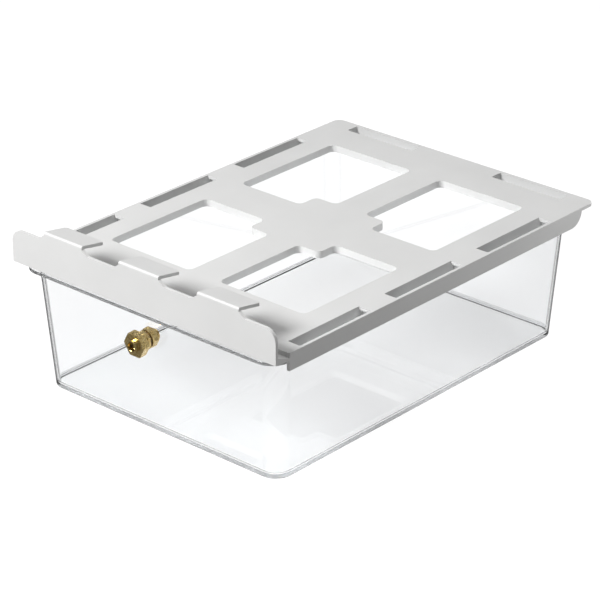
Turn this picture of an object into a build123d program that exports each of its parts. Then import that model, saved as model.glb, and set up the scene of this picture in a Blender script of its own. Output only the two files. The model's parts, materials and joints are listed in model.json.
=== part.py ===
"""Fresh water tank: clear tub, snap-over lid frame with a front pull plate, and a brass outlet fitting.

Units are millimetres.  +Z is up, +X is to the right and the pull plate is at -Y.
The origin is the centre of the tub's underside.
"""
import os
from math import cos, radians, sin, tan

from build123d import *

# ---------------------------------------------------------------- driving dimensions
# Tub
BASE_WIDTH = 278.5
BASE_LENGTH = 385.0
DRAFT = 3.4                      # degrees, every wall leans outward
WALL = 2.5
FLOOR = 3.0
CORNER_RADIUS = 17.0
FOOT_RADIUS = 1.5                # outside rounding between wall and floor
INNER_FOOT_RADIUS = 4.0
RIM_Z = 115.5                    # underside of the rim flange
RIM_THICKNESS = 3.0
RIM_REACH_SIDE = 5.2             # how far the flange turns out past the wall
RIM_REACH_END = 9.5
RIM_CORNER_RADIUS = 20.0

# Lid frame
LID_TOP = 127.7
LID_HALF_WIDTH = 156.0
LID_BACK = 222.0
LID_FRONT = -195.0
DECK = 3.0                       # thickness of the top plate
SKIRT = 3.0
SKIRT_BOTTOM = 111.4
SKIRT_BACK = 202.0
SKIRT_BACK_RADIUS = 14.0
RIB = 2.5

# Windows and the square pad where the lid's two bars cross
BAR_HALF = 17.3
WINDOW_OUTER = 116.0
WINDOW_FRONT = -132.5
CROSS_FRONT = -8.6
CROSS_BACK = 38.2
WINDOW_BACK = 167.8
WINDOW_RADIUS = 6.0
WINDOW_DEPTH = 7.0
PAD_HALF_WIDTH = 42.0
PAD_FRONT = -30.0
PAD_BACK = 60.0

# Slots beside the skirts
SLOT_INNER = 140.0
SLOT_OUTER = LID_HALF_WIDTH - SKIRT
SIDE_SLOTS = ((-179.0, -90.0), (-57.0, 32.5), (68.0, 158.0))
BACK_SLOT_X = (49.0, 129.0)
BACK_SLOT_Y = (205.0, 218.5)
BACK_SKIRT_HALF = 134.0

# Front pull plate and its three hooked tabs
PLATE = 3.0
PLATE_FRONT = -211.5
PLATE_BOTTOM = 122.0
PLATE_TOP = 153.5
PLATE_CORNER = 12.0
TAB_WIDTH = 47.0
TAB_PITCH = 91.8
TAB_TOP = 161.8
TAB_BACK = -184.5
TAB_DROP = 4.6                   # how much lower the tab's free end is than its front edge
NOTCH_SLOPE = 7.0                # how much each tab's side spreads down to the plate's edge
NOTCH_RADIUS = 5.0
WEB_BOTTOM = 121.2
WEB = 2.2

# Brass outlet, square to the front wall
OUTLET_X = -8.0
OUTLET_Z = 88.0
STEM_RADIUS = 5.6
BORE_RADIUS = 3.0
HOSE_RADIUS = 4.1
GASKET = 1.5
GASKET_RADIUS = 8.2
SHOULDER = 3.0
SHOULDER_FLATS = 17.0
NECK_RADIUS = 6.0
NECK_END = 11.0                  # distance of the neck's mouth from the wall
NUT_FLATS = 21.0
NUT_START = 6.0
NUT_END = 14.0
NUT_END_WALL = 1.2
NUT_CLEARANCE = 0.08
COLLAR_RADIUS = 6.0
COLLAR_END = 17.0
WASHER = 1.5
WASHER_RADIUS = 8.6
LOCKNUT_FLATS = 16.0
LOCKNUT = 6.0
OLIVE = 1.7
STEM_INNER_END = -14.0

# ---------------------------------------------------------------- derived dimensions
RIM_TOP = RIM_Z + RIM_THICKNESS
SPREAD = RIM_TOP * tan(radians(DRAFT))
TOP_WIDTH = BASE_WIDTH + 2 * SPREAD
TOP_LENGTH = BASE_LENGTH + 2 * SPREAD
INNER_RADIUS = CORNER_RADIUS - WALL
DECK_UNDER = LID_TOP - DECK
RING_HALF_LENGTH = BASE_LENGTH / 2 + 2.0
RING_BOTTOM = RIM_Z - 1.0
SEAT = RIM_TOP + 0.1             # lid ribs stop just above the flange
TAB_CENTRES = (-TAB_PITCH, 0.0, TAB_PITCH)
TAB_ROOT = TAB_TOP - PLATE - 0.5
OUTLET_Y = -(BASE_LENGTH / 2 + OUTLET_Z * tan(radians(DRAFT)))
OUTWARD = Vector(0, -cos(radians(DRAFT)), -sin(radians(DRAFT)))
OUTLET = Plane(origin=(OUTLET_X, OUTLET_Y, OUTLET_Z), x_dir=(1, 0, 0), z_dir=OUTWARD)
WALL_NORMAL = WALL * cos(radians(DRAFT))

os.makedirs("parts", exist_ok=True)


def save(builder, name):
    """Label the finished piece and write it to its own file."""
    builder.part.label = name
    export_step(builder.part, f"parts/{name}.step")


# ---------------------------------------------------------------- tub
cavity_base_width = BASE_WIDTH - 2 * WALL + 2 * FLOOR * tan(radians(DRAFT))
cavity_base_length = BASE_LENGTH - 2 * WALL + 2 * FLOOR * tan(radians(DRAFT))

with BuildPart() as tub_cavity:
    with BuildSketch(Plane.XY.offset(FLOOR)):
        RectangleRounded(cavity_base_width, cavity_base_length, INNER_RADIUS)
    with BuildSketch(Plane.XY.offset(RIM_TOP)):
        RectangleRounded(TOP_WIDTH - 2 * WALL, TOP_LENGTH - 2 * WALL, INNER_RADIUS)
    loft()
    fillet(tub_cavity.edges().group_by(Axis.Z)[0], INNER_FOOT_RADIUS)

with BuildPart() as tank_shell:
    with BuildSketch():
        RectangleRounded(BASE_WIDTH, BASE_LENGTH, CORNER_RADIUS)
    with BuildSketch(Plane.XY.offset(RIM_TOP)):
        RectangleRounded(TOP_WIDTH, TOP_LENGTH, CORNER_RADIUS)
    loft()
    fillet(tank_shell.edges().group_by(Axis.Z)[0], FOOT_RADIUS)
    with BuildSketch(Plane.XY.offset(RIM_Z)):
        RectangleRounded(TOP_WIDTH + 2 * RIM_REACH_SIDE, TOP_LENGTH + 2 * RIM_REACH_END, RIM_CORNER_RADIUS)
    extrude(amount=RIM_THICKNESS)
    add(tub_cavity.part, mode=Mode.SUBTRACT)
    with BuildSketch(OUTLET):
        Circle(STEM_RADIUS + 0.1)
    extrude(amount=-2 * WALL, mode=Mode.SUBTRACT)
save(tank_shell, "tank_shell")


# ---------------------------------------------------------------- lid frame
def window_outline(side, back, grow=0.0):
    """One lid window: a rectangle whose corner nearest the middle is taken by the pad."""
    y_far = WINDOW_BACK if back else WINDOW_FRONT
    y_near = CROSS_BACK if back else CROSS_FRONT
    y_pad = PAD_BACK if back else PAD_FRONT
    far = grow if back else -grow
    Polygon(
        (side * (BAR_HALF - grow), y_far + far),
        (side * (WINDOW_OUTER + grow), y_far + far),
        (side * (WINDOW_OUTER + grow), y_near - far),
        (side * (PAD_HALF_WIDTH - grow), y_near - far),
        (side * (PAD_HALF_WIDTH - grow), y_pad - far),
        (side * (BAR_HALF - grow), y_pad - far),
        align=None,
    )


WINDOWS = [(side, back) for side in (-1, 1) for back in (False, True)]

with BuildSketch(Plane.XY) as window_holes:
    for side, back in WINDOWS:
        window_outline(side, back)
    fillet(window_holes.vertices(), WINDOW_RADIUS)

with BuildSketch(Plane.XY) as window_collars:
    for side, back in WINDOWS:
        window_outline(side, back, grow=RIB)
    fillet(window_collars.vertices(), WINDOW_RADIUS)
    add(window_holes.sketch, mode=Mode.SUBTRACT)

with BuildSketch(Plane.XY) as slot_holes:
    for low, high in SIDE_SLOTS:
        with Locations(((SLOT_INNER + SLOT_OUTER) / 2, (low + high) / 2)):
            Rectangle(SLOT_OUTER - SLOT_INNER, high - low)
    with Locations((sum(BACK_SLOT_X) / 2, sum(BACK_SLOT_Y) / 2)):
        Rectangle(BACK_SLOT_X[1] - BACK_SLOT_X[0], BACK_SLOT_Y[1] - BACK_SLOT_Y[0])
    mirror(about=Plane.YZ)

with BuildPart() as lid_frame:
    # top plate with its windows and slots
    with BuildSketch(Plane.XY.offset(DECK_UNDER)) as deck_outline:
        with Locations((0, (LID_FRONT + LID_BACK) / 2)):
            Rectangle(2 * LID_HALF_WIDTH, LID_BACK - LID_FRONT)
        fillet(deck_outline.vertices().group_by(Axis.Y)[-1], 8.0)
        fillet(deck_outline.vertices().group_by(Axis.Y)[0], 1.5)
        add(window_holes.sketch, mode=Mode.SUBTRACT)
        add(slot_holes.sketch, mode=Mode.SUBTRACT)
    extrude(amount=DECK)

    # turned-down collars round the windows
    with BuildSketch(Plane.XY.offset(LID_TOP - WINDOW_DEPTH)):
        add(window_collars.sketch)
    extrude(amount=WINDOW_DEPTH - DECK)

    # locating ring that drops inside the tub
    with BuildSketch(Plane.XY.offset(RING_BOTTOM)):
        RectangleRounded(2 * SLOT_INNER, 2 * RING_HALF_LENGTH, INNER_RADIUS)
        RectangleRounded(
            2 * (SLOT_INNER - RIB), 2 * (RING_HALF_LENGTH - RIB), INNER_RADIUS - RIB, mode=Mode.SUBTRACT
        )
    extrude(amount=DECK_UNDER - RING_BOTTOM)

    # side skirts, with the lower back corner rounded away
    with BuildSketch(Plane.YZ.offset(SLOT_OUTER)):
        with BuildLine():
            Polyline(
                (LID_FRONT, DECK_UNDER),
                (LID_FRONT, SKIRT_BOTTOM),
                (SKIRT_BACK - SKIRT_BACK_RADIUS, SKIRT_BOTTOM),
            )
            RadiusArc(
                (SKIRT_BACK - SKIRT_BACK_RADIUS, SKIRT_BOTTOM),
                (SKIRT_BACK, DECK_UNDER),
                -SKIRT_BACK_RADIUS,
            )
            Line((SKIRT_BACK, DECK_UNDER), (LID_FRONT, DECK_UNDER))
        make_face()
    skirt_right = extrude(amount=SKIRT)
    mirror(skirt_right, about=Plane.YZ)

    # cross ribs between skirt and ring, which rest on the flange, and the snap lips under it
    for low, high in SIDE_SLOTS:
        for y in (low - 5.0, high + 5.0):
            with BuildSketch(Plane.XY.offset(SEAT)):
                with Locations(((SLOT_INNER + SLOT_OUTER) / 2, y)):
                    Rectangle(SLOT_OUTER - SLOT_INNER, RIB)
                mirror(about=Plane.YZ)
            extrude(amount=DECK_UNDER - SEAT)
        with BuildSketch(Plane.XY.offset(SKIRT_BOTTOM + 0.6)):
            with Locations((SLOT_OUTER - 0.6, (low + high) / 2)):
                Rectangle(1.2, 34.0)
            mirror(about=Plane.YZ)
        extrude(amount=2.0)

    # back skirt and the wall on the tub side of the back slots
    with BuildSketch(Plane.XY.offset(SKIRT_BOTTOM)):
        with Locations((0, BACK_SLOT_Y[1] + SKIRT / 2)):
            Rectangle(2 * BACK_SKIRT_HALF, SKIRT)
    extrude(amount=DECK_UNDER - SKIRT_BOTTOM)
    with BuildSketch(Plane.XY.offset(SEAT)):
        with Locations((0, BACK_SLOT_Y[0] - RIB / 2)):
            Rectangle(2 * BACK_SKIRT_HALF, RIB)
        for x in (BACK_SLOT_X[0] - RIB / 2, BACK_SLOT_X[1] + RIB / 2):
            with Locations((x, sum(BACK_SLOT_Y) / 2), (-x, sum(BACK_SLOT_Y) / 2)):
                Rectangle(RIB, BACK_SLOT_Y[1] - BACK_SLOT_Y[0])
    extrude(amount=DECK_UNDER - SEAT)

    # front wall, floor and end gussets of the finger channel
    with BuildSketch(Plane.YZ.offset(-LID_HALF_WIDTH)):
        with BuildLine():
            Polyline(
                (PLATE_FRONT + PLATE, WEB_BOTTOM),
                (LID_FRONT + RIB, WEB_BOTTOM),
                (LID_FRONT + RIB, DECK_UNDER),
                (LID_FRONT, DECK_UNDER),
                (LID_FRONT, WEB_BOTTOM + WEB),
                (PLATE_FRONT + PLATE, WEB_BOTTOM + WEB),
                close=True,
            )
        make_face()
    extrude(amount=2 * LID_HALF_WIDTH)
    for side in (-1, 1):
        with BuildSketch(Plane.YZ.offset(side * (LID_HALF_WIDTH - RIB / 2) - RIB / 2)):
            with BuildLine():
                Polyline(
                    (PLATE_FRONT + PLATE, WEB_BOTTOM + WEB),
                    (LID_FRONT, WEB_BOTTOM + WEB),
                    (PLATE_FRONT + PLATE, LID_TOP),
                    close=True,
                )
            make_face()
        extrude(amount=RIB)

    # upright pull plate, higher where it carries the tabs
    with BuildSketch(Plane.XZ.offset(-PLATE_FRONT - PLATE)) as plate_outline:
        with Locations((0, (PLATE_BOTTOM + PLATE_TOP) / 2)):
            Rectangle(2 * LID_HALF_WIDTH, PLATE_TOP - PLATE_BOTTOM)
        fillet(plate_outline.vertices().group_by(Axis.Y)[-1], PLATE_CORNER)
        for x in TAB_CENTRES:
            Polygon(
                (x - TAB_WIDTH / 2 - NOTCH_SLOPE, PLATE_TOP),
                (x - TAB_WIDTH / 2, TAB_ROOT),
                (x + TAB_WIDTH / 2, TAB_ROOT),
                (x + TAB_WIDTH / 2 + NOTCH_SLOPE, PLATE_TOP),
                align=None,
            )
        notch_corners = plate_outline.vertices().filter_by(
            lambda v: abs(v.Y - PLATE_TOP) < 0.01 and abs(v.X) < TAB_PITCH + TAB_WIDTH / 2 + NOTCH_SLOPE + 0.1
        )
        fillet(notch_corners, NOTCH_RADIUS)
    extrude(amount=PLATE)

    # tabs bent back from the plate's upper edge
    for x in TAB_CENTRES:
        with BuildSketch(Plane.YZ.offset(x - TAB_WIDTH / 2)) as tab_profile:
            with BuildLine():
                Polyline(
                    (PLATE_FRONT, TAB_TOP),
                    (TAB_BACK, TAB_TOP - TAB_DROP),
                    (TAB_BACK, TAB_TOP - TAB_DROP - PLATE),
                    (PLATE_FRONT + PLATE, TAB_ROOT),
                    (PLATE_FRONT, TAB_ROOT),
                    close=True,
                )
            make_face()
            fillet(tab_profile.vertices().group_by(Axis.Y)[-1], 2.0)
        extrude(amount=TAB_WIDTH)
    tab_ends = lid_frame.edges().filter_by(Axis.Z).filter_by(
        lambda e: abs(e.center().Y - TAB_BACK) < 0.01 and e.center().Z > PLATE_TOP
    )
    fillet(tab_ends, 3.0)
save(lid_frame, "lid_frame")


# ---------------------------------------------------------------- brass outlet
def ring(start, end, outer, inner):
    """Plain ring along the outlet's axis, added to the current part."""
    with BuildSketch(OUTLET.offset(start)) as section:
        Circle(outer)
        Circle(inner, mode=Mode.SUBTRACT)
    extrude(section.sketch, amount=end - start)


def hexagon(start, end, flats, inner, turn=0.0):
    """Hexagonal ring along the outlet's axis, added to the current part."""
    with BuildSketch(OUTLET.offset(start)) as section:
        RegularPolygon(flats / 2, 6, major_radius=False, rotation=turn)
        Circle(inner, mode=Mode.SUBTRACT)
    extrude(section.sketch, amount=end - start)


shoulder_start = GASKET
shoulder_end = GASKET + SHOULDER
washer_end = -WALL_NORMAL - WASHER
locknut_end = washer_end - LOCKNUT

with BuildPart() as outlet_gasket:
    ring(0.0, GASKET, GASKET_RADIUS, STEM_RADIUS + 0.05)
save(outlet_gasket, "outlet_gasket")

with BuildPart() as outlet_body:
    ring(STEM_INNER_END, shoulder_start, STEM_RADIUS, BORE_RADIUS)
    hexagon(shoulder_start, shoulder_end, SHOULDER_FLATS, BORE_RADIUS, turn=30.0)
    ring(shoulder_end, NECK_END, NECK_RADIUS, BORE_RADIUS)
    with BuildSketch(OUTLET.offset(NECK_END)):
        Circle(HOSE_RADIUS)
    extrude(amount=-(NECK_END - shoulder_end), mode=Mode.SUBTRACT)
save(outlet_body, "outlet_body")

with BuildPart() as outlet_inner_washer:
    ring(washer_end, -WALL_NORMAL, WASHER_RADIUS, STEM_RADIUS + 0.05)
save(outlet_inner_washer, "outlet_inner_washer")

with BuildPart() as outlet_locknut:
    hexagon(locknut_end, washer_end, LOCKNUT_FLATS, STEM_RADIUS + 0.05)
save(outlet_locknut, "outlet_locknut")

with BuildPart() as outlet_olive:
    ring(NECK_END, NECK_END + OLIVE, NECK_RADIUS - 0.6, HOSE_RADIUS)
save(outlet_olive, "outlet_olive")

with BuildPart() as outlet_nut:
    hexagon(NUT_START, NUT_END - NUT_END_WALL, NUT_FLATS, NECK_RADIUS + NUT_CLEARANCE, turn=30.0)
    hexagon(NUT_END - NUT_END_WALL, NUT_END, NUT_FLATS, HOSE_RADIUS, turn=30.0)
    ring(NUT_END, COLLAR_END, COLLAR_RADIUS, HOSE_RADIUS)
save(outlet_nut, "outlet_nut")
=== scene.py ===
"""Fresh water tank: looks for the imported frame.

Lengths are metres in the row frame: +Z up, pull plate at -Y, origin under the middle of the tub.
"""
import json
from math import cos, pi, radians, sin, tan

import bmesh
import bpy
from mathutils import Matrix, Vector


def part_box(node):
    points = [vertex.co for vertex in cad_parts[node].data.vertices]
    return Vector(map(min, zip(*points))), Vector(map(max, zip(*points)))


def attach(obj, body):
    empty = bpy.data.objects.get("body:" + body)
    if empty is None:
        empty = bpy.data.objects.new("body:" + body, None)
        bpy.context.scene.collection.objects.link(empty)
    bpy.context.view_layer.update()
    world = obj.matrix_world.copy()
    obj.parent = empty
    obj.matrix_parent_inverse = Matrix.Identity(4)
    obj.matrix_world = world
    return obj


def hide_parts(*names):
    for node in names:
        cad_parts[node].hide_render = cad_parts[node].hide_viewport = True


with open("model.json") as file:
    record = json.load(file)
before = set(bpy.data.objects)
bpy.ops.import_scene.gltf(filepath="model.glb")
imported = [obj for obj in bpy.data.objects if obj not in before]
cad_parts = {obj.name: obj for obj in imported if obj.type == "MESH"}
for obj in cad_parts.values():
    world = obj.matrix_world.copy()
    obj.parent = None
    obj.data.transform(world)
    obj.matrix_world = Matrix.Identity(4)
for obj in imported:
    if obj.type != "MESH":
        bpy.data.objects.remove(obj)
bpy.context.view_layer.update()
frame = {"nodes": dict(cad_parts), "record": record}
MM = 0.001

# ---------------------------------------------------------------- driving sizes
DRAFT = radians(3.4)
WALL = 2.5 * MM
FLOOR = 3.0 * MM
CORNER_RADIUS = 17.0 * MM
FOOT_RADIUS = 1.5 * MM
INNER_FOOT_RADIUS = 4.0 * MM
RIM_CORNER_RADIUS = 20.0 * MM
RIM_THICKNESS = 3.0 * MM
RIM_REACH_SIDE = 5.2 * MM
RIM_REACH_END = 9.5 * MM

CORNER_STEPS = 20
OUTLET_Z = 88.0 * MM

# ---------------------------------------------------------------- mesh helpers


def link_object(name, mesh):
    """New object for a mesh, linked to the scene."""
    piece = bpy.data.objects.new(name, mesh)
    bpy.context.scene.collection.objects.link(piece)
    return piece


def apply_modifiers(piece):
    """Replace the piece's mesh with its evaluated one and drop the modifiers."""
    bpy.context.view_layer.update()
    graph = bpy.context.evaluated_depsgraph_get()
    mesh = bpy.data.meshes.new_from_object(piece.evaluated_get(graph), depsgraph=graph)
    piece.modifiers.clear()
    old = piece.data
    piece.data = mesh
    bpy.data.meshes.remove(old)


def shade(piece, angle=radians(30)):
    """Smooth shading with crisp edges, flat faces kept truly flat."""
    for polygon in piece.data.polygons:
        polygon.use_smooth = True
    piece.data.set_sharp_from_angle(angle=angle)
    weighted = piece.modifiers.new("weighted", "WEIGHTED_NORMAL")
    weighted.mode = "FACE_AREA"
    weighted.weight = 100
    weighted.keep_sharp = True
    apply_modifiers(piece)


def rounded_loop(bm, half_x, half_y, radius, z):
    """Ring of vertices round a rounded rectangle centred on the Z axis."""
    ring = []
    for quarter in range(4):
        sign_x = 1 if quarter in (0, 3) else -1
        sign_y = 1 if quarter in (0, 1) else -1
        centre = Vector((sign_x * (half_x - radius), sign_y * (half_y - radius)))
        for step in range(CORNER_STEPS + 1):
            angle = (quarter + step / CORNER_STEPS) * pi / 2
            point = centre + radius * Vector((cos(angle), sin(angle)))
            ring.append(bm.verts.new((point.x, point.y, z)))
    return ring


def bridge(bm, lower, upper):
    """Quads between two rings with the same number of vertices."""
    count = len(lower)
    for i in range(count):
        j = (i + 1) % count
        bm.faces.new((lower[i], lower[j], upper[j], upper[i]))


# ---------------------------------------------------------------- materials


class Nodes:
    """Short way to build a node material around one Principled shader."""

    def __init__(self, name):
        self.material = bpy.data.materials.new(name)
        self.material.use_nodes = True
        self.tree = self.material.node_tree
        self.shader = self.tree.nodes["Principled BSDF"]
        self.output = self.tree.nodes["Material Output"]
        self.place = self.add("ShaderNodeTexCoord").outputs["Object"]

    def add(self, kind, **values):
        """New node with properties or input values set by name."""
        node = self.tree.nodes.new(kind)
        for key, value in values.items():
            if key in node.inputs:
                node.inputs[key].default_value = value
            else:
                setattr(node, key, value)
        return node

    def link(self, source, target):
        self.tree.links.new(source, target)

    def set(self, **values):
        """Values set straight on the shader's own sockets; underscores stand for spaces."""
        for key, value in values.items():
            self.shader.inputs[key.replace("_", " ")].default_value = value

    def noise(self, scale, detail=3.0, stretch=None):
        """Noise over the object, stretched along an axis if asked."""
        node = self.add("ShaderNodeTexNoise", Scale=scale, Detail=detail)
        source = self.place
        if stretch:
            mapping = self.add("ShaderNodeMapping")
            mapping.inputs["Scale"].default_value = stretch
            self.link(source, mapping.inputs["Vector"])
            source = mapping.outputs["Vector"]
        self.link(source, node.inputs["Vector"])
        return node.outputs["Fac"]

    def spread(self, source, low, high, start=0.3, end=0.7):
        """Map a 0-1 value to a range."""
        node = self.add("ShaderNodeMapRange")
        self.link(source, node.inputs["Value"])
        node.inputs["From Min"].default_value = start
        node.inputs["From Max"].default_value = end
        node.inputs["To Min"].default_value = low
        node.inputs["To Max"].default_value = high
        return node.outputs["Result"]

    def ramp(self, source, stops):
        """Colours by value."""
        node = self.add("ShaderNodeValToRGB")
        elements = node.color_ramp.elements
        while len(elements) < len(stops):
            elements.new(1.0)
        for element, (position, colour) in zip(elements, stops):
            element.position = position
            element.color = (*colour, 1.0)
        self.link(source, node.inputs["Fac"])
        return node.outputs["Color"]

    def bump(self, source, distance, strength=1.0, under=None):
        """Bump whose height is the source times a distance in metres."""
        node = self.add("ShaderNodeBump", Strength=strength, Distance=distance)
        self.link(source, node.inputs["Height"])
        if under:
            self.link(under, node.inputs["Normal"])
        return node.outputs["Normal"]


UPRIGHT_BELOW = 0.2      # a face whose normal has a smaller |Z| than this is a wall
UNDERSIDE_BELOW = -0.97  # a face whose normal has a smaller Z than this is the underside
CLEAR = (1.0, 1.0, 1.0)
# painted shade: near-black colour for walls seen nearly edge-on, standing in for dark refracted outlines
EDGE_ON_PAINTED_SHADE = (0.05, 0.051, 0.053)
# painted shade: near-black colour on downward-facing roundings such as the foot
FOOT_PAINTED_SHADE = (0.02, 0.021, 0.022)
# painted shade: grey colour on upward-sloping roundings
FILLET_PAINTED_SHADE = (0.62, 0.625, 0.635)


def clear_plastic():
    """Polished polycarbonate: faint haze, frosted underside, painted shade at the edges, lamps reach through
    it.

    Painted shade: walls darken in colour where they are seen nearly edge-on, and roundings darken or turn
    grey by the way they face.
    Only light that enters the plastic is tinted.
    """
    m = Nodes("clear_plastic")
    m.set(Transmission_Weight=1.0, IOR=1.58, Specular_IOR_Level=0.3)
    haze = m.ramp(m.noise(9.0, 4.0), [(0.3, (0.975, 0.98, 0.985)), (0.7, (0.99, 0.992, 0.996))])
    # painted shade: walls seen nearly edge-on get a darker colour
    edge = m.add("ShaderNodeLayerWeight", Blend=0.5)
    painted_edge_on_shade = m.ramp(edge.outputs["Facing"], [(0.44, CLEAR), (0.68, EDGE_ON_PAINTED_SHADE)])
    surface = m.add("ShaderNodeNewGeometry")
    normal = m.add("ShaderNodeSeparateXYZ")
    m.link(surface.outputs["True Normal"], normal.inputs[0])
    slope = m.spread(normal.outputs["Z"], 0.0, 1.0, -1.0, 1.0)
    # painted shade by the way faces point: downward roundings near black, upward roundings grey
    foot = m.ramp(slope, [(0.006, CLEAR), (0.03, FOOT_PAINTED_SHADE), (0.42, FOOT_PAINTED_SHADE), (0.455, CLEAR),
                          (0.60, CLEAR), (0.68, FILLET_PAINTED_SHADE), (0.96, FILLET_PAINTED_SHADE), (0.99, CLEAR)])
    steep = m.add("ShaderNodeMath", operation="ABSOLUTE")
    m.link(normal.outputs["Z"], steep.inputs[0])
    upright = m.add("ShaderNodeMath", operation="LESS_THAN")
    m.link(steep.outputs[0], upright.inputs[0])
    upright.inputs[1].default_value = UPRIGHT_BELOW
    # painted shade: walls take the edge-on shade, other faces the shade by the way they point
    edges = m.add("ShaderNodeMix", data_type="RGBA")
    m.link(upright.outputs[0], edges.inputs[0])
    m.link(foot, edges.inputs[6])
    m.link(painted_edge_on_shade, edges.inputs[7])
    outside = m.add("ShaderNodeMath", operation="SUBTRACT")
    outside.inputs[0].default_value = 1.0
    m.link(surface.outputs["Backfacing"], outside.inputs[1])
    # haze times the painted shade, on faces seen from outside only
    tint = m.add("ShaderNodeMix", data_type="RGBA", blend_type="MULTIPLY")
    m.link(outside.outputs[0], tint.inputs[0])
    m.link(haze, tint.inputs[6])
    m.link(edges.outputs[2], tint.inputs[7])
    m.link(tint.outputs[2], m.shader.inputs["Base Color"])
    beneath = m.add("ShaderNodeMath", operation="LESS_THAN")
    m.link(normal.outputs["Z"], beneath.inputs[0])
    beneath.inputs[1].default_value = UNDERSIDE_BELOW
    finish = m.add("ShaderNodeMix", data_type="FLOAT")
    m.link(beneath.outputs[0], finish.inputs[0])
    m.link(m.spread(m.noise(60.0, 2.0), 0.0, 0.03), finish.inputs[2])
    m.link(m.spread(m.noise(25.0, 3.0), 0.58, 0.72), finish.inputs[3])
    m.link(finish.outputs[0], m.shader.inputs["Roughness"])
    passing = m.add("ShaderNodeBsdfTransparent")
    passing.inputs["Color"].default_value = (0.93, 0.945, 0.95, 1.0)
    path = m.add("ShaderNodeLightPath")
    shadow = m.add("ShaderNodeMixShader")
    m.link(path.outputs["Is Shadow Ray"], shadow.inputs[0])
    m.link(m.shader.outputs["BSDF"], shadow.inputs[1])
    m.link(passing.outputs["BSDF"], shadow.inputs[2])
    m.link(shadow.outputs["Shader"], m.output.inputs["Surface"])
    depth = m.add("ShaderNodeVolumeAbsorption", Density=8.0)
    depth.inputs["Color"].default_value = (0.47, 0.49, 0.52, 1.0)
    m.link(depth.outputs["Volume"], m.output.inputs["Volume"])
    return m.material


def white_plastic():
    """Pale satin moulding with a fine spark-eroded grain and slow sheen changes."""
    m = Nodes("white_plastic")
    m.set(IOR=1.5, Specular_IOR_Level=0.42)
    m.link(m.ramp(m.noise(14.0, 4.0), [(0.3, (0.65, 0.65, 0.645)), (0.7, (0.685, 0.685, 0.68))]),
           m.shader.inputs["Base Color"])
    m.link(m.spread(m.noise(35.0, 3.0), 0.42, 0.55), m.shader.inputs["Roughness"])
    grain = m.noise(1500.0, 2.0)
    m.link(m.bump(grain, 0.00008, 0.35), m.shader.inputs["Normal"])
    return m.material


def brass():
    """Machined brass: turned lines, a little tarnish in the dips."""
    m = Nodes("brass")
    m.set(Metallic=1.0)
    m.link(m.ramp(m.noise(260.0, 4.0), [(0.25, (0.46, 0.32, 0.11)), (0.6, (0.68, 0.515, 0.23)),
                                        (0.8, (0.77, 0.63, 0.35))]),
           m.shader.inputs["Base Color"])
    m.link(m.spread(m.noise(420.0, 3.0), 0.16, 0.34), m.shader.inputs["Roughness"])
    m.link(m.bump(m.noise(900.0, 2.0, (1.0, 8.0, 1.0)), 0.00004, 0.5), m.shader.inputs["Normal"])
    return m.material


def gasket_rubber():
    """Amber natural rubber with a dusty bloom."""
    m = Nodes("gasket_rubber")
    m.link(m.ramp(m.noise(300.0, 4.0), [(0.3, (0.20, 0.13, 0.05)), (0.75, (0.30, 0.20, 0.09))]),
           m.shader.inputs["Base Color"])
    m.link(m.spread(m.noise(200.0), 0.55, 0.75), m.shader.inputs["Roughness"])
    m.link(m.bump(m.noise(1400.0), 0.00005, 0.5), m.shader.inputs["Normal"])
    return m.material


MATERIALS = {
    "clear_plastic": clear_plastic(),
    "white_plastic": white_plastic(),
    "brass": brass(),
    "gasket_rubber": gasket_rubber(),
}
SLOT_OF = {part["node"]: part["material_slot"] for part in frame["record"]["subparts"]}


def dress(piece, slot):
    """Give the piece the one material of its slot."""
    piece.data.materials.clear()
    piece.data.materials.append(MATERIALS[slot])


def stand_for(piece, node, body):
    """The piece replaces a CAD node and rides on its body."""
    dress(piece, SLOT_OF[node])
    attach(piece, body)
    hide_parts(node)


# ---------------------------------------------------------------- the tub


def arc(start, end, steps):
    """Angles from start to end, both included."""
    return [start + (end - start) * i / steps for i in range(steps + 1)]


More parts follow.
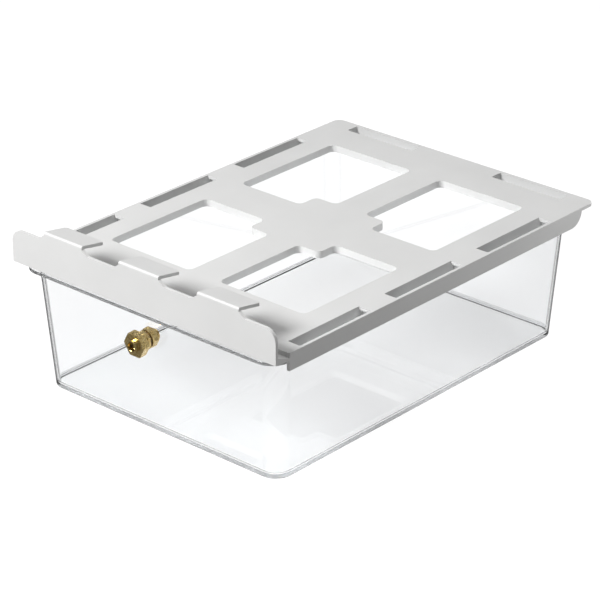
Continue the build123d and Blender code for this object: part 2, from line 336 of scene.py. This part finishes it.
def tub():
    """Lofted clear tub with rounded foot, rounded rim flange and the outlet hole."""
    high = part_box("tank_shell")[1]
    top = high.z
    slope = tan(DRAFT)
    base_x = high.x - RIM_REACH_SIDE - top * slope
    base_y = high.y - RIM_REACH_END - top * slope
    rim_under = top - RIM_THICKNESS
    bm = bmesh.new()
    rings = []

    def ring(out, z, radius, reach=0.0):
        """Ring offset outward from the wall's foot; reach is 0 at the wall, 1 at the flange's edge."""
        side = out + reach * RIM_REACH_SIDE
        end = out + reach * RIM_REACH_END
        rings.append(rounded_loop(bm, base_x + side, base_y + end, radius, z))

    lean = slope - 1 / cos(DRAFT)
    # outside: foot arc tangent to the underside and to the leaning wall
    foot = FOOT_RADIUS
    for a in arc(-pi / 2, -DRAFT, 6):
        out = foot * lean + foot * cos(a)
        ring(out, foot + foot * sin(a), CORNER_RADIUS + out)
    # leaning wall and the small fillet under the flange
    under = 1.6 * MM
    for a in arc(0.0, pi / 2, 4):
        out = slope * rim_under + under * (1 - cos(a))
        ring(out, rim_under - under * (1 - sin(a)), CORNER_RADIUS + under * (1 - cos(a)))
    # flange edge, rounded below and above
    edge = 0.8 * MM
    wall_out = slope * top
    lower_half, upper_half = arc(-pi / 2, 0.0, 4), arc(0.0, pi / 2, 4)
    for centre_z, angles in ((rim_under + edge, lower_half), (top - edge, upper_half)):
        for a in angles:
            ring(wall_out - edge + edge * cos(a), centre_z + edge * sin(a),
                 RIM_CORNER_RADIUS - edge + edge * cos(a), reach=1.0)
    # rounded lip, then down the inside to the floor fillet
    inner_radius = CORNER_RADIUS - WALL
    lip = 1.2 * MM
    for a in arc(pi / 2, pi, 4):
        out = lip + lip * cos(a)
        ring(wall_out - WALL + out, top - lip + lip * sin(a), inner_radius + out)
    inner_foot = INNER_FOOT_RADIUS
    inner_out = slope * FLOOR - WALL
    for a in arc(-DRAFT, -pi / 2, 8):
        out = inner_foot * lean + inner_foot * cos(a)
        ring(inner_out + out, FLOOR + inner_foot + inner_foot * sin(a), inner_radius + out)
    for lower, upper in zip(rings, rings[1:]):
        bridge(bm, lower, upper)
    bm.faces.new(list(reversed(rings[0])))
    bm.faces.new(rings[-1])
    bmesh.ops.recalc_face_normals(bm, faces=bm.faces)
    mesh = bpy.data.meshes.new("clear_tub")
    bm.to_mesh(mesh)
    bm.free()
    piece = link_object("clear_tub", mesh)
    cut = outlet_hole_cutter()
    boolean = piece.modifiers.new("hole", "BOOLEAN")
    boolean.operation = "DIFFERENCE"
    boolean.solver = "EXACT"
    boolean.object = cut
    apply_modifiers(piece)
    bpy.data.objects.remove(cut)
    shade(piece, radians(35))
    return piece


# ---------------------------------------------------------------- the brass outlet
low_gasket, high_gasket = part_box("outlet_gasket")
high_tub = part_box("tank_shell")[1]
BASE_Y = high_tub.y - RIM_REACH_END - high_tub.z * tan(DRAFT)
OUTLET_AT = Vector((
    (low_gasket.x + high_gasket.x) / 2,
    -(BASE_Y + OUTLET_Z * tan(DRAFT)),
    OUTLET_Z,
))
# turns local +Z to the outward direction and keeps local X along world X
OUTLET_FRAME = Matrix.Translation(OUTLET_AT) @ Matrix.Rotation(pi / 2 + DRAFT, 4, "X")

# distances along the outlet's axis from the wall's outer face, and radii, in millimetres
STEM_END, STEM_RADIUS, BORE_RADIUS = -14.0, 5.6, 3.0
GASKET, GASKET_RADIUS = 1.5, 8.2
SHOULDER_END, SHOULDER_FLATS = 4.5, 17.0
NECK_END, NECK_RADIUS, HOSE_RADIUS = 11.0, 6.0, 4.1
NUT_START, NUT_END, NUT_FLATS, NUT_END_WALL = 6.0, 14.0, 21.0, 1.2
COLLAR_END, COLLAR_RADIUS = 17.0, 6.0
INNER_FACE = -WALL * cos(DRAFT) / MM
WASHER, WASHER_RADIUS = 1.5, 8.6
LOCKNUT, LOCKNUT_FLATS = 6.0, 16.0
OLIVE, OLIVE_RADIUS = 1.7, 5.4
THREAD_PITCH, THREAD_DEPTH = 1.0, 0.42
SIDES = 96


def turned(bm, outline, sides=SIDES):
    """Solid of revolution about local Z from a closed outline of (radius, height) in millimetres."""
    rings = []
    for radius, height in outline:
        ring = []
        for i in range(sides):
            angle = 2 * pi * i / sides
            ring.append(bm.verts.new((radius * MM * cos(angle), radius * MM * sin(angle), height * MM)))
        rings.append(ring)
    for lower, upper in zip(rings, rings[1:] + rings[:1]):
        bridge(bm, lower, upper)


def thread(radius, start, end):
    """Outline points of a threaded length with a plain run-out at both ends."""
    points = [(radius - THREAD_DEPTH, start), (radius - THREAD_DEPTH, start + 0.3)]
    count = int((end - start - 0.6) / THREAD_PITCH)
    step = (end - start - 0.6) / count
    for i in range(count):
        low = start + 0.3 + i * step
        points += [
            (radius, low + 0.42 * step),
            (radius, low + 0.58 * step),
            (radius - THREAD_DEPTH, low + step),
        ]
    return points + [(radius - THREAD_DEPTH, end)]


def hex_ring(bm, flats, start, end, inner, turn=0.0, chamfer=0.955, soft=0.25):
    """Hexagonal ring, corners chamfered by a cone at both ends; flats lie across X when turn is 0."""
    across = flats / 2
    cone = across / cos(pi / 6) * chamfer
    rings = [[] for _ in range(8)]
    for i in range(SIDES):
        angle = 2 * pi * i / SIDES
        folded = (angle - turn) % (pi / 3) - pi / 6
        radius = min(across / cos(folded), across / cos(pi / 6) * 0.985)
        cut = max(0.0, radius - cone) * tan(pi / 6)
        flat = min(radius, cone) - soft
        outline = [
            (inner + soft, start), (flat, start), (radius, start + cut + soft * 0.6),
            (radius, end - cut - soft * 0.6), (flat, end), (inner + soft, end),
            (inner, end - soft), (inner, start + soft),
        ]
        for ring, (r, height) in zip(rings, outline):
            ring.append(bm.verts.new((r * MM * cos(angle), r * MM * sin(angle), height * MM)))
    for lower, upper in zip(rings, rings[1:] + rings[:1]):
        bridge(bm, lower, upper)


def from_bmesh(name, bm, place):
    """Mesh object from a bmesh, moved to its place."""
    bmesh.ops.recalc_face_normals(bm, faces=bm.faces)
    bm.transform(place)
    mesh = bpy.data.meshes.new(name)
    bm.to_mesh(mesh)
    bm.free()
    return link_object(name, mesh)


def outlet_hole_cutter():
    """Cylinder for the hole in the front wall."""
    radius = (STEM_RADIUS + 0.1) * MM
    bm = bmesh.new()
    bmesh.ops.create_cone(bm, cap_ends=True, segments=64, radius1=radius, radius2=radius, depth=20 * MM)
    return from_bmesh("hole_cutter", bm, OUTLET_FRAME)


def outlet_piece(name, node, body, build):
    """Builds one piece of the fitting about the outlet's axis and lets it stand for its CAD node."""
    bm = bmesh.new()
    build(bm)
    piece = from_bmesh(name, bm, OUTLET_FRAME)
    shade(piece, radians(28))
    stand_for(piece, node, body)


def body_shape(bm):
    """Threaded stem, hex shoulder and threaded neck with its socket."""
    turned(
        bm,
        thread(STEM_RADIUS, STEM_END, GASKET)
        + thread(NECK_RADIUS, SHOULDER_END - 0.2, NECK_END - 0.6)
        + [
            (NECK_RADIUS - 0.8, NECK_END), (HOSE_RADIUS + 0.4, NECK_END),
            (HOSE_RADIUS, NECK_END - 0.4), (HOSE_RADIUS, SHOULDER_END),
            (BORE_RADIUS, SHOULDER_END - 0.8), (BORE_RADIUS, STEM_END + 0.4),
            (BORE_RADIUS + 0.4, STEM_END),
        ],
    )
    hex_ring(bm, SHOULDER_FLATS, GASKET, SHOULDER_END, STEM_RADIUS - 0.8, turn=pi / 6)


def nut_shape(bm):
    """Compression nut: chamfered hexagon, end wall and collar."""
    bore = NECK_RADIUS + 0.08
    wall_start = NUT_END - NUT_END_WALL
    hex_ring(bm, NUT_FLATS, NUT_START, NUT_END, bore, turn=0.0)
    turned(bm, [
        (HOSE_RADIUS, wall_start), (bore + 1.0, wall_start), (bore + 1.0, NUT_END - 0.2),
        (COLLAR_RADIUS + 0.5, NUT_END - 0.2), (COLLAR_RADIUS, NUT_END + 0.4),
        (COLLAR_RADIUS, COLLAR_END - 0.6),
        (COLLAR_RADIUS - 0.2, COLLAR_END - 0.2), (COLLAR_RADIUS - 0.6, COLLAR_END),
        (HOSE_RADIUS + 0.4, COLLAR_END), (HOSE_RADIUS, COLLAR_END - 0.4),
    ])


def rounded_ring(start, end, outer, inner, soft):
    """Outline of a plain ring with small rounded edges."""
    return [
        (inner + soft, start), (outer - soft, start), (outer - 0.3 * soft, start + 0.3 * soft),
        (outer, start + soft), (outer, end - soft), (outer - 0.3 * soft, end - 0.3 * soft),
        (outer - soft, end), (inner + soft, end), (inner, end - soft), (inner, start + soft),
    ]


# ---------------------------------------------------------------- the lid


def softened_copy(name, node, width, segments=2):
    """Copy of a CAD node's mesh with its flat faces merged and its edges rounded."""
    bm = bmesh.new()
    bm.from_mesh(frame["nodes"][node].data)
    bmesh.ops.remove_doubles(bm, verts=bm.verts, dist=1e-6)
    bmesh.ops.dissolve_limit(bm, angle_limit=radians(1.0), verts=bm.verts, edges=bm.edges)
    mesh = bpy.data.meshes.new(name)
    bm.to_mesh(mesh)
    bm.free()
    piece = link_object(name, mesh)
    bevel = piece.modifiers.new("edges", "BEVEL")
    bevel.width = width
    bevel.segments = segments
    bevel.limit_method = "ANGLE"
    bevel.angle_limit = radians(40)
    bevel.miter_outer = "MITER_ARC"
    bevel.use_clamp_overlap = True
    apply_modifiers(piece)
    shade(piece, radians(50))
    return piece


stand_for(tub(), "tank_shell", "tank")
stand_for(softened_copy("lid_moulding", "lid_frame", 0.5 * MM), "lid_frame", "lid")

STEM_HOLE = STEM_RADIUS + 0.05
washer_end = INNER_FACE - WASHER
outlet_piece("brass_body", "outlet_body", "tank", body_shape)
outlet_piece("brass_nut", "outlet_nut", "nut", nut_shape)
outlet_piece("rubber_gasket", "outlet_gasket", "tank",
             lambda bm: turned(bm, rounded_ring(0.0, GASKET, GASKET_RADIUS, STEM_HOLE, 0.5)))
outlet_piece("brass_washer", "outlet_inner_washer", "tank",
             lambda bm: turned(bm, rounded_ring(washer_end, INNER_FACE, WASHER_RADIUS, STEM_HOLE, 0.2)))
outlet_piece("brass_locknut", "outlet_locknut", "tank",
             lambda bm: hex_ring(bm, LOCKNUT_FLATS, washer_end - LOCKNUT, washer_end, STEM_HOLE))
outlet_piece("brass_olive", "outlet_olive", "tank",
             lambda bm: turned(bm, rounded_ring(NECK_END, NECK_END + OLIVE, OLIVE_RADIUS, HOSE_RADIUS, 0.4)))

# ---------------------------------------------------------------- stage, lights and camera


FLOOR_SIZE = 6.0
FLOOR_GAP = 0.4 * MM


def stage_floor():
    """Large pale floor just under the tub, dimmer in mirrored and scattered light than to the eye."""
    bm = bmesh.new()
    bmesh.ops.create_grid(bm, x_segments=2, y_segments=2, size=FLOOR_SIZE)
    floor = from_bmesh("floor", bm, Matrix.Translation((0, 0, -FLOOR_GAP)))
    m = Nodes("floor")
    m.set(Roughness=0.9, Specular_IOR_Level=0.1, Emission_Color=(1, 1, 1, 1), Emission_Strength=0.94)
    m.link(m.ramp(m.noise(0.8, 2.0), [(0.3, (0.12, 0.12, 0.12)), (0.7, (0.14, 0.14, 0.14))]),
           m.shader.inputs["Base Color"])
    bounce = m.add("ShaderNodeBsdfDiffuse")
    bounce.inputs["Color"].default_value = (0.24, 0.24, 0.24, 1.0)
    mirrored = m.add("ShaderNodeEmission", Strength=0.25)
    path = m.add("ShaderNodeLightPath")
    glossy = m.add("ShaderNodeMixShader")
    m.link(path.outputs["Is Reflection Ray"], glossy.inputs[0])
    m.link(m.shader.outputs["BSDF"], glossy.inputs[1])
    m.link(mirrored.outputs["Emission"], glossy.inputs[2])
    mix = m.add("ShaderNodeMixShader")
    m.link(path.outputs["Is Diffuse Ray"], mix.inputs[0])
    m.link(glossy.outputs["Shader"], mix.inputs[1])
    m.link(bounce.outputs["BSDF"], mix.inputs[2])
    m.link(mix.outputs["Shader"], m.output.inputs["Surface"])
    floor.data.materials.append(m.material)


def area_light(name, azimuth, elevation, distance, size, power, target=(0, 0, 0.06)):
    """Square soft light that faces its target, unseen by the camera; azimuth 0 is straight in front."""
    light = bpy.data.lights.new(name, "AREA")
    light.shape = "SQUARE"
    light.size = size
    light.energy = power
    lamp = bpy.data.objects.new(name, light)
    bpy.context.scene.collection.objects.link(lamp)
    a, e = radians(azimuth), radians(elevation)
    back = Vector((sin(a) * cos(e), -cos(a) * cos(e), sin(e)))
    lamp.location = Vector(target) + distance * back
    lamp.rotation_euler = back.to_track_quat("Z", "Y").to_euler()
    lamp.visible_camera = False
    lamp.visible_transmission = False
    return lamp


stage_floor()
area_light("key", -22, 40, 2.6, 1.0, 77.0)
area_light("top", 120, 78, 2.2, 1.4, 17.0)
area_light("fill", 120, 4, 0.6, 0.22, 1.9, (0.1, 0.30, 0.06))

world = bpy.data.worlds.new("studio")
world.use_nodes = True
world.node_tree.nodes["Background"].inputs["Color"].default_value = (1.0, 1.0, 1.0, 1.0)
world.node_tree.nodes["Background"].inputs["Strength"].default_value = 0.12
bpy.context.scene.world = world

VIEW_AZIMUTH = 42.058
VIEW_ELEVATION = 25.333
VIEW_ROLL = -0.26
VIEW_LENS = 162.44
VIEW_FROM = Vector((1.4816, -1.6511, 1.1079))

camera_data = bpy.data.cameras.new("camera")
camera_data.lens = VIEW_LENS
camera_data.sensor_width = 36.0
camera = bpy.data.objects.new("camera", camera_data)
bpy.context.scene.collection.objects.link(camera)
camera.matrix_world = (
    Matrix.Translation(VIEW_FROM)
    @ Matrix.Rotation(radians(VIEW_AZIMUTH), 4, "Z")
    @ Matrix.Rotation(radians(90 - VIEW_ELEVATION), 4, "X")
    @ Matrix.Rotation(radians(VIEW_ROLL), 4, "Z")
)
bpy.context.scene.camera = camera
bpy.context.scene.view_settings.view_transform = "Standard"
